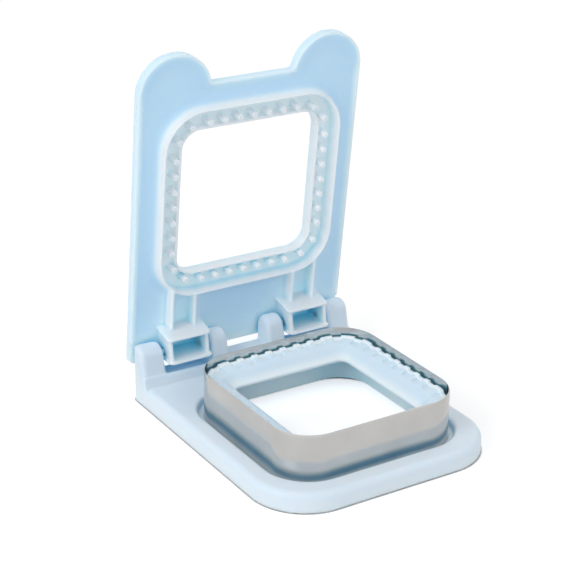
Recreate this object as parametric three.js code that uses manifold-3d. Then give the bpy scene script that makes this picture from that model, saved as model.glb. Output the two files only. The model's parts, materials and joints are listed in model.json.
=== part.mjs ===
// Sandwich cutter and sealer: a tray carries a steel cutting band round a crimping ring,
// and a framed lid with pegs swings down over them on two hinge blocks.
// Millimetres, +Z up, +X to the right, +Y to the back.
// The origin is on the standing face, straight below the middle of the hinge line.
// The lid stands open, as far as its stops let it.
import * as THREE from "three";
import { mergeVertices } from "three/addons/utils/BufferGeometryUtils.js";
import Module from "manifold-3d";

// Clearances
const seatGap = 0.3; // between pieces that touch
const sideGap = 0.4; // between a hinge block and the lugs beside it
const swingGap = 0.35; // round everything that swings
const overrun = 1; // how far a cut runs past the face it opens

// Square track that band, ring, rim and window share; half sizes are from its centre
const bandHalf = 46.6;
const bandCornerRadius = 18.8;
const bandThickness = 0.6;
const bandTop = 29.8;
const bandEdge = 0.9; // height of the ground cutting edge
const bandEdgeThickness = 0.25;

// Pegs on the lid, and the pits that they meet
const pegInset = 5.4; // from the band's outer face to the pegs' middle
const pegRowMargin = 3.8; // from the last peg of a row to where the corner starts
const pegsPerSide = 7;
const pegCornerRadius = 14.3;
const pegCornerAngle = 18.8; // degrees either side of the diagonal
const pegRadius = 1.5;
const pegDimpleRadius = 0.8;
const pegDimpleDepth = 0.5;
const pitRadius = 2.3;
const pitDepth = 2; // below the crest
const pitInset = 0.8; // how far a pit's round end lies inwards of its peg

// Tray
const trayBorder = 10.4; // deck beside the channel
const trayFrontBorder = 11;
const trayTail = 4.3; // behind the hinge line
const trayHeight = 9.6;
const trayEdgeRadius = 3.5;
const frontCornerRadius = 27.5;
const rearCornerRadius = 4;
const trayWall = 2;
const channelWidth = 3;
const channelEdgeRadius = 2;
const channelFloor = 5.8;
const ledgeTop = 5.2;
const ledgeReach = 0.7;
const recessHeight = 3.2; // the channel's underside above the standing face
const underRibThickness = 2.4;
const underRibSpread = 30;

// Crimp ring
const ringWall = 2;
const crestDrop = 3.5; // below the band's upper edge
const crestWidth = 1.9;
const crestRelief = 0.7; // how far the crest stands back from the wall's outer face
const crestReliefDrop = 4; // from the crest to where it starts to stand back
const notchDrop = 0.9; // from the crest to the floor of a notch in it
const shoulderDrop = 1; // from the crest to the shoulder that holds the pits
const shoulderFall = 0.3; // of the shoulder towards its inner edge
const shoulderWidth = 4.9;
const lipReach = 12.2; // inwards from the wall
const lipDrop = 7.2;
const lipThickness = 2;
const ringShoulder = 5; // height of the slope's root on the wall
const hookWidth = 7;
const hookSpread = 18;
const hookReach = 0.9;
const hookThickness = 1;
const hookSeatHeight = 1.2;

// Hinge
const openAngle = 83.5; // degrees
const hingeSetback = 26.2; // behind the channel
const hingeDrop = 6.3; // below the underside of the shut lid
const pinRadius = 1.5;
const pinSeat = 6; // length held in a lug
const pinBite = 1; // length held in a block's side wall

// Rear wall and lugs of the tray
const wallSetback = 9.1; // from the wall's front to the hinge line
const wallDrop = 8.1; // from the hinge line to the wall's top
const wallSlope = 0.6; // how far the wall's front leans back over its height
const innerLugWidth = 10.9;
const outerLugWidth = 13.3;
const lugDraft = 0.8; // how much narrower each lug side is at its top
const lugCornerRadius = 3;
const lugCoreDrop = 10.3; // from the hinge line to the top of a lug's hollow
const stopReach = 1.6;
const stopDrop = 3.3;
const stopWidth = 9;

// Lid panel, as it lies when the lid is shut
const lidOverhang = 0.2; // beyond the tray's sides
const lidSetback = 1.3; // behind the tray's front
const lidTail = 7.5; // behind the hinge line
const lidThickness = 3.8;
const lidRearRadius = 3;
const lidBorderWidth = 1.2;
const lidBorderHeight = 1.3;
const lidBorderEnd = 4.6; // from the hinge line to where the border ends
const earRise = 16.2;
const earRadius = 18.9;
const earFillet = 2.5;

// Frame on the lid
const rimGap = 0.5; // between the band and the rim round it
const rimWall = 1.2;
const rimDepth = 6.4;
const rimFillet = 5;
const troughGap = 1.2; // between the band's edge and the floor of the trough
const troughRecess = 1.4;
const windowInset = 4; // from the pegs' middle to the window
const windowWall = 1.4;
const windowWallDepth = 2.6;

// Hinge blocks under the lid
const blockWidth = 24;
const blockWall = 1.8;
const plateThickness = 1.4;
const blockInset = 1.2; // the side walls stand in from the ends of the plates
const blockRecess = 1.2; // the side walls stop short of the mouth
const blockCornerRadius = 2.5;
const frontTipReach = 9.7;
const frontTipDrop = 7.2;
const frontRootReach = 11.4;
const rearTipReach = 2.6;
const rearTipDrop = 10.4;
const rearRootReach = 3.7;
const gussetLeg = 4;
const gussetThickness = 1;
const gussetDepth = 7;
const ribThickness = 1.5;
const ribSpread = 12.5;

// Facets
const cornerSteps = 8;
const earSteps = 12;
const roundSides = 24;
const pegSides = 10;
const pitSides = 14;
const filletSteps = 5;
const edgeSteps = 3;

// Sizes that follow, seen from above
const cornerCentre = bandHalf - bandCornerRadius;
const bandInnerHalf = bandHalf - bandThickness;
const ringHalf = bandInnerHalf - seatGap;
const ringInnerHalf = ringHalf - ringWall;
const crestHalf = ringHalf - crestRelief;
const crestInnerHalf = crestHalf - crestWidth;
const shoulderHalf = crestInnerHalf - shoulderWidth;
const lipHalf = ringInnerHalf - lipReach;
const pegHalf = bandHalf - pegInset;
const pegPitch = (cornerCentre - pegRowMargin) * 2 / (pegsPerSide - 1);
const windowHalf = pegHalf - windowInset;
const windowWallHalf = windowHalf + windowWall;
const rimInnerHalf = bandHalf + rimGap;
const rimHalf = rimInnerHalf + rimWall;
const trayOpeningHalf = ringHalf - ledgeReach;
const skirtHalf = trayOpeningHalf - seatGap;
const channelHalf = bandHalf + channelWidth;
const trayHalfWidth = channelHalf + trayBorder;
const trayFront = channelHalf + trayFrontBorder;
const hingeY = channelHalf + hingeSetback;
const trayRear = hingeY + trayTail;
const wallFront = hingeY - wallSetback;
const outerLugNear = trayHalfWidth - outerLugWidth;
const blockFar = outerLugNear - sideGap;
const blockNear = blockFar - blockWidth;
const blockMiddle = (blockNear + blockFar) / 2;
const innerLugFace = blockNear - sideGap;
const innerLugNear = innerLugFace - innerLugWidth;
const lidHalfWidth = trayHalfWidth + lidOverhang;
const lidFront = trayFront - lidSetback;
const lidRear = hingeY + lidTail;
const earTip = lidFront + earRise;

// Sizes that follow, upwards
const footHeight = ledgeTop + seatGap; // of the ring and the band
const hookSeatTop = recessHeight + hookSeatHeight;
const skirtFoot = hookSeatTop - seatGap - hookThickness;
const crestTop = bandTop - crestDrop;
const notchFloor = crestTop - notchDrop;
const shoulderTop = crestTop - shoulderDrop;
const pitFloor = crestTop - pitDepth;
const lipTop = crestTop - lipDrop;
const pegTip = pitFloor + seatGap;
const troughFloor = bandTop + troughGap;
const lidUnderside = troughFloor - troughRecess;
const lidTop = lidUnderside + lidThickness;
const rimTip = lidUnderside - rimDepth;
const hingeZ = lidUnderside - hingeDrop;
const wallTop = hingeZ - wallDrop;
const lugCoreTop = hingeZ - lugCoreDrop;
const stopTop = hingeZ - stopDrop;
const frontSwing = Math.hypot(frontTipReach, frontTipDrop) + swingGap;
const rearSwing = Math.hypot(rearTipReach, rearTipDrop) + swingGap;
const lugTopRadius = lidUnderside - hingeZ - swingGap;
const pinBore = pinRadius + seatGap;

const wasm = await Module();
wasm.setup();

// Solids
function toSolid(geometry) {
  const bare = new THREE.BufferGeometry();
  bare.setAttribute("position", geometry.getAttribute("position"));
  bare.setIndex(geometry.getIndex());
  const merged = mergeVertices(bare);
  const corners = merged.getIndex().array;
  const triangles = [];
  for (let first = 0; first < corners.length; first += 3) {
    const [a, b, c] = corners.slice(first, first + 3);
    if (a !== b && b !== c && c !== a) {
      triangles.push(a, b, c);
    }
  }
  return new wasm.Manifold(new wasm.Mesh({
    numProp: 3,
    vertProperties: merged.getAttribute("position").array,
    triVerts: new Uint32Array(triangles),
  }));
}

function joinAll(solids) {
  return solids.reduce((whole, next) => whole.add(next));
}

function cutAll(solid, cutters) {
  return cutters.reduce((rest, cutter) => rest.subtract(cutter), solid);
}

function toMesh(name, solid, material) {
  const mesh = solid.getMesh();
  const geometry = new THREE.BufferGeometry();
  geometry.setAttribute("position", new THREE.BufferAttribute(mesh.vertProperties, mesh.numProp));
  geometry.setIndex(new THREE.BufferAttribute(mesh.triVerts, 1));
  geometry.computeVertexNormals();
  const piece = new THREE.Mesh(geometry, material);
  piece.name = name;
  return piece;
}

function radians(degrees) {
  return THREE.MathUtils.degToRad(degrees);
}

// Box between two corners
function box(low, high) {
  const size = high.map((value, axis) => value - low[axis]);
  const geometry = new THREE.BoxGeometry(...size);
  geometry.translate(...high.map((value, axis) => (value + low[axis]) / 2));
  return toSolid(geometry);
}

// Outline seen from above, raised from one height to another
function raise(shape, low, high, curveSegments = cornerSteps / 2) {
  const geometry = new THREE.ExtrudeGeometry(shape, {
    depth: high - low,
    bevelEnabled: false,
    curveSegments,
  });
  geometry.translate(0, 0, low);
  return toSolid(geometry);
}

// Outline seen from the side, in Y and Z, drawn out along X
function drawAlongX(points, near, far) {
  const shape = new THREE.Shape(points.map(([y, z]) => new THREE.Vector2(y, z)));
  const geometry = new THREE.ExtrudeGeometry(shape, { depth: far - near, bevelEnabled: false });
  const toSide = new THREE.Matrix4().makeBasis(
    new THREE.Vector3(0, 1, 0),
    new THREE.Vector3(0, 0, 1),
    new THREE.Vector3(1, 0, 0),
  );
  geometry.applyMatrix4(toSide);
  geometry.translate(near, 0, 0);
  return toSolid(geometry);
}

// Outline seen from the front, in X and Z, drawn out along Y
function drawAlongY(shape, near, far) {
  const geometry = new THREE.ExtrudeGeometry(shape, {
    depth: far - near,
    bevelEnabled: false,
    curveSegments: edgeSteps,
  });
  geometry.rotateX(Math.PI / 2);
  geometry.translate(0, far, 0);
  return toSolid(geometry);
}

// Round bar along X
function barAlongX(radius, near, far, y, z) {
  const geometry = new THREE.CylinderGeometry(radius, radius, far - near, roundSides);
  geometry.rotateZ(Math.PI / 2);
  geometry.translate((near + far) / 2, y, z);
  return toSolid(geometry);
}

// Round bar along Z
function barAlongZ(radius, low, high, x, y, sides) {
  const geometry = new THREE.CylinderGeometry(radius, radius, high - low, sides);
  geometry.rotateX(Math.PI / 2);
  geometry.translate(x, y, (low + high) / 2);
  return toSolid(geometry);
}

// Rectangle seen from above with its own corner radius at the front and at the back
function roundedBox(halfWidth, front, rear, frontRadius, rearRadius) {
  const shape = new THREE.Shape();
  const rearSide = halfWidth - rearRadius;
  const frontSide = halfWidth - frontRadius;
  shape.moveTo(halfWidth, frontRadius - front);
  shape.lineTo(halfWidth, rear - rearRadius);
  shape.absarc(rearSide, rear - rearRadius, rearRadius, 0, Math.PI / 2);
  shape.lineTo(-rearSide, rear);
  shape.absarc(-rearSide, rear - rearRadius, rearRadius, Math.PI / 2, Math.PI);
  shape.lineTo(-halfWidth, frontRadius - front);
  shape.absarc(-frontSide, frontRadius - front, frontRadius, Math.PI, Math.PI * 1.5);
  shape.lineTo(frontSide, -front);
  shape.absarc(frontSide, frontRadius - front, frontRadius, Math.PI * 1.5, Math.PI * 2);
  return shape;
}

// Block that follows the square track
function trackBlock(half, low, high) {
  const radius = half - cornerCentre;
  return raise(roundedBox(half, half, half, radius, radius), low, high);
}

// Ring that carries a section of half sizes and heights round the square track
function trackRing(section) {
  const outline = section.map(([half, z]) => new THREE.Vector2(half, z));
  if (THREE.ShapeUtils.isClockWise(outline)) {
    outline.reverse();
  }
  const signs = [[1, 1], [-1, 1], [-1, -1], [1, -1]];
  const places = [];
  for (const point of outline) {
    signs.forEach(([signX, signY], quarter) => {
      for (let step = 0; step <= cornerSteps; step += 1) {
        const angle = (quarter + step / cornerSteps) * Math.PI / 2;
        const radius = point.x - cornerCentre;
        const x = signX * cornerCentre + radius * Math.cos(angle);
        const y = signY * cornerCentre + radius * Math.sin(angle);
        places.push(x, y, point.y);
      }
    });
  }
  const around = signs.length * (cornerSteps + 1);
  const triangles = [];
  outline.forEach((point, row) => {
    const here = row * around;
    const above = ((row + 1) % outline.length) * around;
    for (let step = 0; step < around; step += 1) {
      const next = (step + 1) % around;
      triangles.push(here + step, here + next, above + next);
      triangles.push(here + step, above + next, above + step);
    }
  });
  const geometry = new THREE.BufferGeometry();
  geometry.setAttribute("position", new THREE.Float32BufferAttribute(places, 3));
  geometry.setIndex(triangles);
  return toSolid(geometry);
}

// Points of an arc in the plane of a section
function arcPoints(centreA, centreB, radius, from, to, steps) {
  return Array.from({ length: steps + 1 }, (unused, step) => {
    const angle = from + (to - from) * step / steps;
    return [centreA + radius * Math.cos(angle), centreB + radius * Math.sin(angle)];
  });
}

function mirrored(solid) {
  return solid.mirror([1, 0, 0]);
}

// Places of the pegs, a row on each side and a pair at each corner, and their ways outwards
function pegPlaces() {
  const quarter = [];
  for (let index = 0; index < pegsPerSide; index += 1) {
    quarter.push({ x: pegHalf, y: (index - (pegsPerSide - 1) / 2) * pegPitch, outwards: 0 });
  }
  const cornerMiddle = pegHalf - pegCornerRadius;
  for (const outwards of [45 - pegCornerAngle, 45 + pegCornerAngle]) {
    const x = cornerMiddle + pegCornerRadius * Math.cos(radians(outwards));
    const y = cornerMiddle + pegCornerRadius * Math.sin(radians(outwards));
    quarter.push({ x, y, outwards });
  }
  return [0, 90, 180, 270].flatMap((turn) => (
    quarter.map((place) => ({ ...place, turn }))
  ));
}

// Copy of a solid at each peg, drawn at the middle of the track with +X as the way outwards
function atPegs(solid) {
  return pegPlaces().map(({ x, y, outwards, turn }) => (
    solid.rotate([0, 0, outwards]).translate([x, y, 0]).rotate([0, 0, turn])
  ));
}

// Materials
function plastic() {
  return new THREE.MeshStandardMaterial({ color: 0xb9d9f0, roughness: 0.45, metalness: 0 });
}

function steel() {
  return new THREE.MeshStandardMaterial({ color: 0xb4b6b6, roughness: 0.22, metalness: 1 });
}

// Tray
function traySlab() {
  const inset = trayEdgeRadius;
  const outline = roundedBox(
    trayHalfWidth - inset,
    trayFront - inset,
    trayRear - inset,
    frontCornerRadius - inset,
    rearCornerRadius - inset,
  );
  const geometry = new THREE.ExtrudeGeometry(outline, {
    depth: trayHeight,
    bevelThickness: inset,
    bevelSize: inset,
    bevelSegments: edgeSteps,
    curveSegments: cornerSteps / 2,
  });
  geometry.translate(0, 0, -inset);
  const below = box(
    [-trayHalfWidth - overrun, -trayFront - overrun, -inset - inset - overrun],
    [trayHalfWidth + overrun, trayRear + overrun, 0],
  );
  return toSolid(geometry).subtract(below);
}

function lugProfile() {
  const low = trayWall;
  const rearEnd = Math.acos((trayRear - hingeY) / lugTopRadius);
  const toFoot = Math.hypot(wallFront - hingeY, trayHeight - hingeZ);
  const footAngle = Math.atan2(trayHeight - hingeZ, wallFront - hingeY) + 2 * Math.PI;
  const frontEnd = footAngle - Math.acos(lugTopRadius / toFoot);
  const top = arcPoints(hingeY, hingeZ, lugTopRadius, rearEnd, frontEnd, roundSides / 2);
  return [[wallFront, low], [trayRear, low], ...top, [wallFront, trayHeight]];
}

// Lug seen from the front, narrower towards its rounded top
function lugFront(near, far, nearDraft, farDraft) {
  const top = hingeZ + lugTopRadius;
  const topNear = near + nearDraft;
  const topFar = far - farDraft;
  const shape = new THREE.Shape();
  shape.moveTo(near, trayWall);
  shape.lineTo(far, trayWall);
  shape.lineTo(far, trayHeight);
  shape.lineTo(topFar, top - lugCornerRadius);
  shape.absarc(topFar - lugCornerRadius, top - lugCornerRadius, lugCornerRadius, 0, Math.PI / 2);
  shape.lineTo(topNear + lugCornerRadius, top);
  shape.absarc(
    topNear + lugCornerRadius,
    top - lugCornerRadius,
    lugCornerRadius,
    Math.PI / 2,
    Math.PI,
  );
  shape.lineTo(near, trayHeight);
  return shape;
}

function lug(near, far, nearDraft, farDraft) {
  const side = drawAlongX(lugProfile(), near - overrun, far + overrun);
  const front = drawAlongY(
    lugFront(near, far, nearDraft, farDraft),
    wallFront - overrun,
    trayRear + overrun,
  );
  return side.intersect(front);
}

function rearWall() {
  const profile = [
    [wallFront, trayWall],
    [trayRear, trayWall],
    [trayRear, wallTop],
    [wallFront + wallSlope, wallTop],
    [wallFront, trayHeight],
  ];
  return drawAlongX(profile, -trayHalfWidth, trayHalfWidth);
}

// Stop that the open lid's lower end comes to rest against, on the back of an outer lug
function lidStop() {
  const face = lidUnderside - hingeZ - seatGap;
  const angle = radians(openAngle);
  const far = trayHalfWidth - rearCornerRadius;
  const onFace = (z) => hingeY + (face - (z - hingeZ) * Math.cos(angle)) / Math.sin(angle);
  const low = stopTop - stopReach - stopReach;
  const root = trayRear - trayWall;
  const profile = [
    [root, low - stopReach],
    [trayRear, low - stopReach],
    [onFace(low), low],
    [onFace(stopTop), stopTop],
    [root, stopTop],
  ];
  return drawAlongX(profile, far - stopWidth, far);
}

// Room between the right lugs for what swings at a radius, as far back as it swings
function swingRoom(radius, rear) {
  const swing = barAlongX(radius, innerLugFace, outerLugNear, hingeY, hingeZ);
  return swing.intersect(box(
    [innerLugNear, wallFront - overrun, trayHeight],
    [trayHalfWidth, rear, lidTop],
  ));
}

function underPockets() {
  const inner = raise(
    roundedBox(
      trayHalfWidth - trayWall,
      trayFront - trayWall,
      trayRear - trayWall,
      frontCornerRadius - trayWall,
      rearCornerRadius - trayWall,
    ),
    -overrun,
    trayHeight - trayWall,
  );
  const channelBox = trackBlock(channelHalf + trayWall, -overrun - overrun, trayHeight);
  const ribs = [-underRibSpread, 0, underRibSpread].map((x) => box(
    [x - underRibThickness / 2, channelHalf, -overrun - overrun],
    [x + underRibThickness / 2, trayRear, trayHeight],
  ));
  return cutAll(inner, [channelBox, ...ribs]);
}

function lugCore(near, far) {
  const back = trayRear - trayWall;
  return box(
    [near + trayWall, wallFront + trayWall + trayWall, -overrun],
    [far - trayWall, back, lugCoreTop],
  );
}

function hookPlaces() {
  const places = [];
  for (let quarter = 0; quarter < 4; quarter += 1) {
    for (const side of [-1, 1]) {
      places.push({ turn: quarter * 90, along: side * hookSpread });
    }
  }
  return places;
}

function atHooks(makeOne) {
  return hookPlaces().map(({ turn, along }) => makeOne(along).rotate([0, 0, turn]));
}

function hookSeats() {
  const halfWidth = hookWidth / 2 + seatGap;
  return atHooks((along) => box(
    [trayOpeningHalf - overrun, along - halfWidth, recessHeight - overrun],
    [trayOpeningHalf + hookReach + seatGap, along + halfWidth, hookSeatTop],
  ));
}

// Cut that rounds the upper edge of the channel
function channelEdge() {
  const half = channelHalf + channelEdgeRadius;
  const low = trayHeight - channelEdgeRadius;
  return trackRing([
    ...arcPoints(half, low, channelEdgeRadius, Math.PI, Math.PI / 2, filletSteps),
    [half, trayHeight + overrun],
    [channelHalf - overrun, trayHeight + overrun],
    [channelHalf - overrun, low],
  ]);
}

function makeTray() {
  const innerLug = lug(innerLugNear, innerLugFace, lugDraft, lugDraft);
  const outerLug = lug(outerLugNear, trayHalfWidth, lugDraft, 0);
  const rightSide = joinAll([innerLug, outerLug]);
  const plan = raise(
    roundedBox(trayHalfWidth, trayFront, trayRear, frontCornerRadius, rearCornerRadius),
    0,
    lidTop,
  );
  const raised = joinAll([rearWall(), rightSide, mirrored(rightSide)]).intersect(plan);
  const stop = lidStop();
  const whole = joinAll([traySlab(), raised, stop, mirrored(stop)]);
  const bore = barAlongX(
    pinBore,
    innerLugFace - pinSeat,
    outerLugNear + pinSeat,
    hingeY,
    hingeZ,
  );
  const innerCore = lugCore(innerLugNear, innerLugFace);
  const outerCore = lugCore(outerLugNear, trayHalfWidth);
  const rightCuts = [
    swingRoom(frontSwing, hingeY - frontTipReach + plateThickness + swingGap),
    swingRoom(rearSwing, trayRear + overrun),
    bore,
    innerCore,
    outerCore,
  ];
  return cutAll(whole, [
    ...rightCuts,
    ...rightCuts.map(mirrored),
    underPockets(),
    trackBlock(channelHalf, -overrun, recessHeight),
    trackBlock(trayOpeningHalf, -overrun, trayHeight + overrun),
    trackBlock(bandHalf + seatGap, ledgeTop, trayHeight + overrun),
    trackBlock(channelHalf, channelFloor, trayHeight + overrun),
    channelEdge(),
    ...hookSeats(),
  ]);
}

// Crimp ring: a notched crest, a shoulder with pits, a sloping shelf, and a skirt with hooks
function ringHook(along) {
  return box(
    [ringInnerHalf, along - hookWidth / 2, skirtFoot],
    [trayOpeningHalf + hookReach, along + hookWidth / 2, skirtFoot + hookThickness],
  );
}

// Cutter for a pit, and for the notch that runs outwards from it through the crest
function pitCutter() {
  const high = crestTop + overrun;
  return joinAll([
    barAlongZ(pitRadius, pitFloor, high, -pitInset, 0, pitSides),
    box([-pitInset, -pitRadius, pitFloor], [crestInnerHalf - pegHalf, pitRadius, high]),
    box([-pitInset, -pitRadius, notchFloor], [bandHalf - pegHalf, pitRadius, high]),
  ]);
}

function makeCrimpRing() {
  const shelfUnder = crestTop - ringShoulder;
  const reliefTop = crestTop - crestReliefDrop;
  const ring = trackRing([
    [ringHalf, footHeight],
    [ringHalf, reliefTop - crestRelief],
    [crestHalf, reliefTop],
    [crestHalf, crestTop],
    [crestInnerHalf, crestTop],
    [crestInnerHalf, shoulderTop],
    [shoulderHalf, shoulderTop - shoulderFall],
    [lipHalf, lipTop],
    [lipHalf, lipTop - lipThickness / 2],
    [lipHalf + lipThickness / 2, lipTop - lipThickness],
    [ringInnerHalf, shelfUnder],
    [ringInnerHalf, skirtFoot],
    [skirtHalf, skirtFoot],
    [skirtHalf, footHeight],
  ]);
  return cutAll(joinAll([ring, ...atHooks(ringHook)]), atPegs(pitCutter()));
}

// Cutting band: a closed strip of steel with a ground upper edge
function makeCuttingBand() {
  return trackRing([
    [bandHalf, footHeight],
    [bandHalf, bandTop - bandEdge],
    [bandInnerHalf + bandEdgeThickness, bandTop],
    [bandInnerHalf, bandTop],
    [bandInnerHalf, footHeight],
  ]);
}

// Lid, drawn as it lies when shut; an inset takes its outline in
function lidOutline(inset) {
  const side = lidHalfWidth - inset;
  const earX = lidHalfWidth - earRadius;
  const earY = earRadius - earTip;
  const rearSide = side - lidRearRadius;
  const filletY = -lidFront - earFillet;
  const reach = earRadius + earFillet;
  const filletX = earX - Math.sqrt(reach ** 2 - (filletY - earY) ** 2);
  const meet = Math.atan2(earY - filletY, earX - filletX);
  const shape = new THREE.Shape();
  shape.moveTo(side, earY);
  shape.lineTo(side, lidRear - lidRearRadius);
  shape.absarc(rearSide, lidRear - lidRearRadius, lidRearRadius, 0, Math.PI / 2);
  shape.lineTo(-rearSide, lidRear);
  shape.absarc(-rearSide, lidRear - lidRearRadius, lidRearRadius, Math.PI / 2, Math.PI);
  shape.lineTo(-side, earY);
  shape.absarc(-earX, earY, earRadius - inset, Math.PI, 2 * Math.PI - meet);
  shape.absarc(-filletX, filletY, earFillet + inset, Math.PI - meet, Math.PI / 2, true);
  shape.lineTo(filletX, inset - lidFront);
  shape.absarc(filletX, filletY, earFillet + inset, Math.PI / 2, meet, true);
  shape.absarc(earX, earY, earRadius - inset, Math.PI + meet, 2 * Math.PI);
  return shape;
}

// Panel with a raised border along its front and its sides, as far as the lugs
function lidPanel() {
  const tip = lidUnderside - lidBorderHeight;
  const recess = raise(lidOutline(lidBorderWidth), tip - overrun, lidUnderside, earSteps);
  const hingeEnd = box(
    [-lidHalfWidth - overrun, hingeY - lidBorderEnd, tip - overrun],
    [lidHalfWidth + overrun, lidRear + overrun, lidUnderside],
  );
  return cutAll(raise(lidOutline(0), tip, lidTop, earSteps), [recess, hingeEnd]);
}

function lidRim() {
  const fillet = arcPoints(
    rimHalf + rimFillet,
    lidUnderside - rimFillet,
    rimFillet,
    Math.PI / 2,
    Math.PI,
    filletSteps,
  );
  return trackRing([
    [rimHalf + rimFillet, troughFloor],
    ...fillet,
    [rimHalf, rimTip],
    [rimInnerHalf, rimTip],
    [rimInnerHalf, troughFloor],
  ]);
}

function windowFrame() {
  return trackRing([
    [windowHalf, lidUnderside - windowWallDepth],
    [windowWallHalf, lidUnderside - windowWallDepth],
    [windowWallHalf, lidTop],
    [windowHalf, lidTop],
  ]);
}

function peg() {
  const length = troughFloor + lidThickness / 4 - pegTip;
  const profile = [
    new THREE.Vector2(0, pegDimpleDepth),
    new THREE.Vector2(pegDimpleRadius, 0),
    new THREE.Vector2(pegRadius, 0),
    new THREE.Vector2(pegRadius, length),
    new THREE.Vector2(0, length),
  ];
  const geometry = new THREE.LatheGeometry(profile, pegSides);
  geometry.rotateX(Math.PI / 2);
  geometry.translate(0, 0, pegTip);
  return toSolid(geometry);
}

// Y of a hinge plate's outer face at a height, from its tip and root
function plateFace(tipReach, tipDrop, rootReach) {
  const tipZ = hingeZ - tipDrop;
  return (z) => {
    const share = (z - tipZ) / (lidUnderside - tipZ);
    return hingeY + tipReach + (rootReach - tipReach) * share;
  };
}

const frontFace = plateFace(-frontTipReach, frontTipDrop, -frontRootReach);
const rearFace = plateFace(rearTipReach, rearTipDrop, rearRootReach);

function hingePlate(face, thickness, tipDrop) {
  const tip = hingeZ - tipDrop;
  const root = lidUnderside + troughRecess;
  const slab = drawAlongX(
    [[face(tip), tip], [face(tip) + thickness, tip], [face(root) + thickness, root], [face(root), root]],
    blockNear,
    blockFar,
  );
  const front = new THREE.Shape();
  front.moveTo(blockNear, root);
  front.lineTo(blockNear, tip + blockCornerRadius);
  front.absarc(
    blockNear + blockCornerRadius,
    tip + blockCornerRadius,
    blockCornerRadius,
    Math.PI,
    Math.PI * 1.5,
  );
  front.lineTo(blockFar - blockCornerRadius, tip);
  front.absarc(
    blockFar - blockCornerRadius,
    tip + blockCornerRadius,
    blockCornerRadius,
    Math.PI * 1.5,
    Math.PI * 2,
  );
  front.lineTo(blockFar, root);
  return slab.intersect(drawAlongY(front, hingeY - frontSwing, lidRear));
}

function blockSide(near) {
  const top = lidUnderside + troughRecess;
  const frontLow = hingeZ - frontTipDrop + blockRecess;
  const rearLow = hingeZ - rearTipDrop + blockRecess;
  const middle = plateThickness / 2;
  return drawAlongX(
    [
      [frontFace(frontLow) + middle, frontLow],
      [rearFace(rearLow) - middle, rearLow],
      [rearFace(top) - middle, top],
      [frontFace(top) + middle, top],
    ],
    near,
    near + blockWall,
  );
}

// Web across the corner between the front plate and a side wall
function gusset(wallX, direction) {
  const low = lidUnderside - gussetDepth;
  const plateY = frontFace(lidUnderside) + plateThickness / 2;
  const start = wallX - direction * blockWall / 2;
  const legX = gussetLeg + blockWall / 2;
  const legY = gussetLeg + plateThickness;
  const shape = new THREE.Shape([
    new THREE.Vector2(start, plateY + legY),
    new THREE.Vector2(start, plateY + legY - gussetThickness),
    new THREE.Vector2(start + direction * (legX - gussetThickness), plateY),
    new THREE.Vector2(start + direction * legX, plateY),
  ]);
  return raise(shape, low, lidUnderside + troughRecess);
}

// Rib from a block to the rim, which the trough cuts off
function lidRib(x) {
  return box(
    [x - ribThickness / 2, pegHalf, rimTip],
    [x + ribThickness / 2, frontFace(rimTip) + plateThickness / 2, troughFloor],
  );
}

function lidRibs() {
  const ribs = [lidRib(blockMiddle - ribSpread / 2), lidRib(blockMiddle + ribSpread / 2)];
  return [...ribs, ...ribs.map(mirrored)];
}

function hingeBlock() {
  const nearSide = blockNear + blockInset;
  const farSide = blockFar - blockInset - blockWall;
  const nearSeat = nearSide + pinBite + seatGap;
  const farSeat = blockFar - blockInset - pinBite - seatGap;
  const whole = joinAll([
    hingePlate(frontFace, plateThickness, frontTipDrop),
    hingePlate(rearFace, -plateThickness, rearTipDrop),
    blockSide(nearSide),
    blockSide(farSide),
    gusset(nearSide + blockWall, 1),
    gusset(farSide, -1),
  ]);
  return cutAll(whole, [
    barAlongX(pinBore, blockNear - overrun, nearSeat, hingeY, hingeZ),
    barAlongX(pinBore, farSeat, blockFar + overrun, hingeY, hingeZ),
  ]);
}

function makeLid() {
  const block = hingeBlock();
  const opened = cutAll(joinAll([lidPanel(), lidRim(), ...lidRibs()]), [
    trackBlock(windowHalf, rimTip, lidTop + overrun),
    trackRing([
      [windowWallHalf, rimTip],
      [rimInnerHalf, rimTip],
      [rimInnerHalf, troughFloor],
      [windowWallHalf, troughFloor],
    ]),
  ]);
  return joinAll([opened, windowFrame(), block, mirrored(block), ...atPegs(peg())]);
}

// Hinge pins: each is held in a lug and carries one side wall of a block
function makePin(fromLug, lugFace) {
  const toWall = sideGap + blockInset + pinBite;
  const inLug = pinSeat - seatGap;
  const near = fromLug > 0 ? lugFace - inLug : lugFace - toWall;
  const far = fromLug > 0 ? lugFace + toWall : lugFace + inLug;
  return barAlongX(pinRadius, near, far, hingeY, hingeZ);
}

// Assembly
const innerPin = makePin(1, innerLugFace);
const outerPin = makePin(-1, outerLugNear);
const pins = {
  hinge_pin_right_inner: innerPin,
  hinge_pin_right_outer: outerPin,
  hinge_pin_left_inner: mirrored(innerPin),
  hinge_pin_left_outer: mirrored(outerPin),
};

const cutter = new THREE.Group();
cutter.position.set(0, -hingeY, 0);
cutter.add(toMesh("tray", makeTray(), plastic()));
cutter.add(toMesh("crimp_ring", makeCrimpRing(), plastic()));
cutter.add(toMesh("cutting_band", makeCuttingBand(), steel()));
for (const [name, pin] of Object.entries(pins)) {
  cutter.add(toMesh(name, pin, plastic()));
}

const lidSwing = new THREE.Group();
lidSwing.position.set(0, hingeY, hingeZ);
lidSwing.rotation.x = -radians(openAngle);
const lid = toMesh("lid", makeLid(), plastic());
lid.position.set(0, -hingeY, -hingeZ);
lidSwing.add(lid);
cutter.add(lidSwing);

const part = new THREE.Group();
part.add(cutter);

export default part;
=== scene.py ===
# %% [markdown]
# # A sandwich cutter and sealer
# The tool is a flat tray with a square steel cutting band round a crimping ring, and a
# framed lid with two ears that swings down over them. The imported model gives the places
# and sizes. This script makes the fine surfaces round it, with soft moulded edges, and
# dresses them in pale blue plastic and polished steel.

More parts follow.
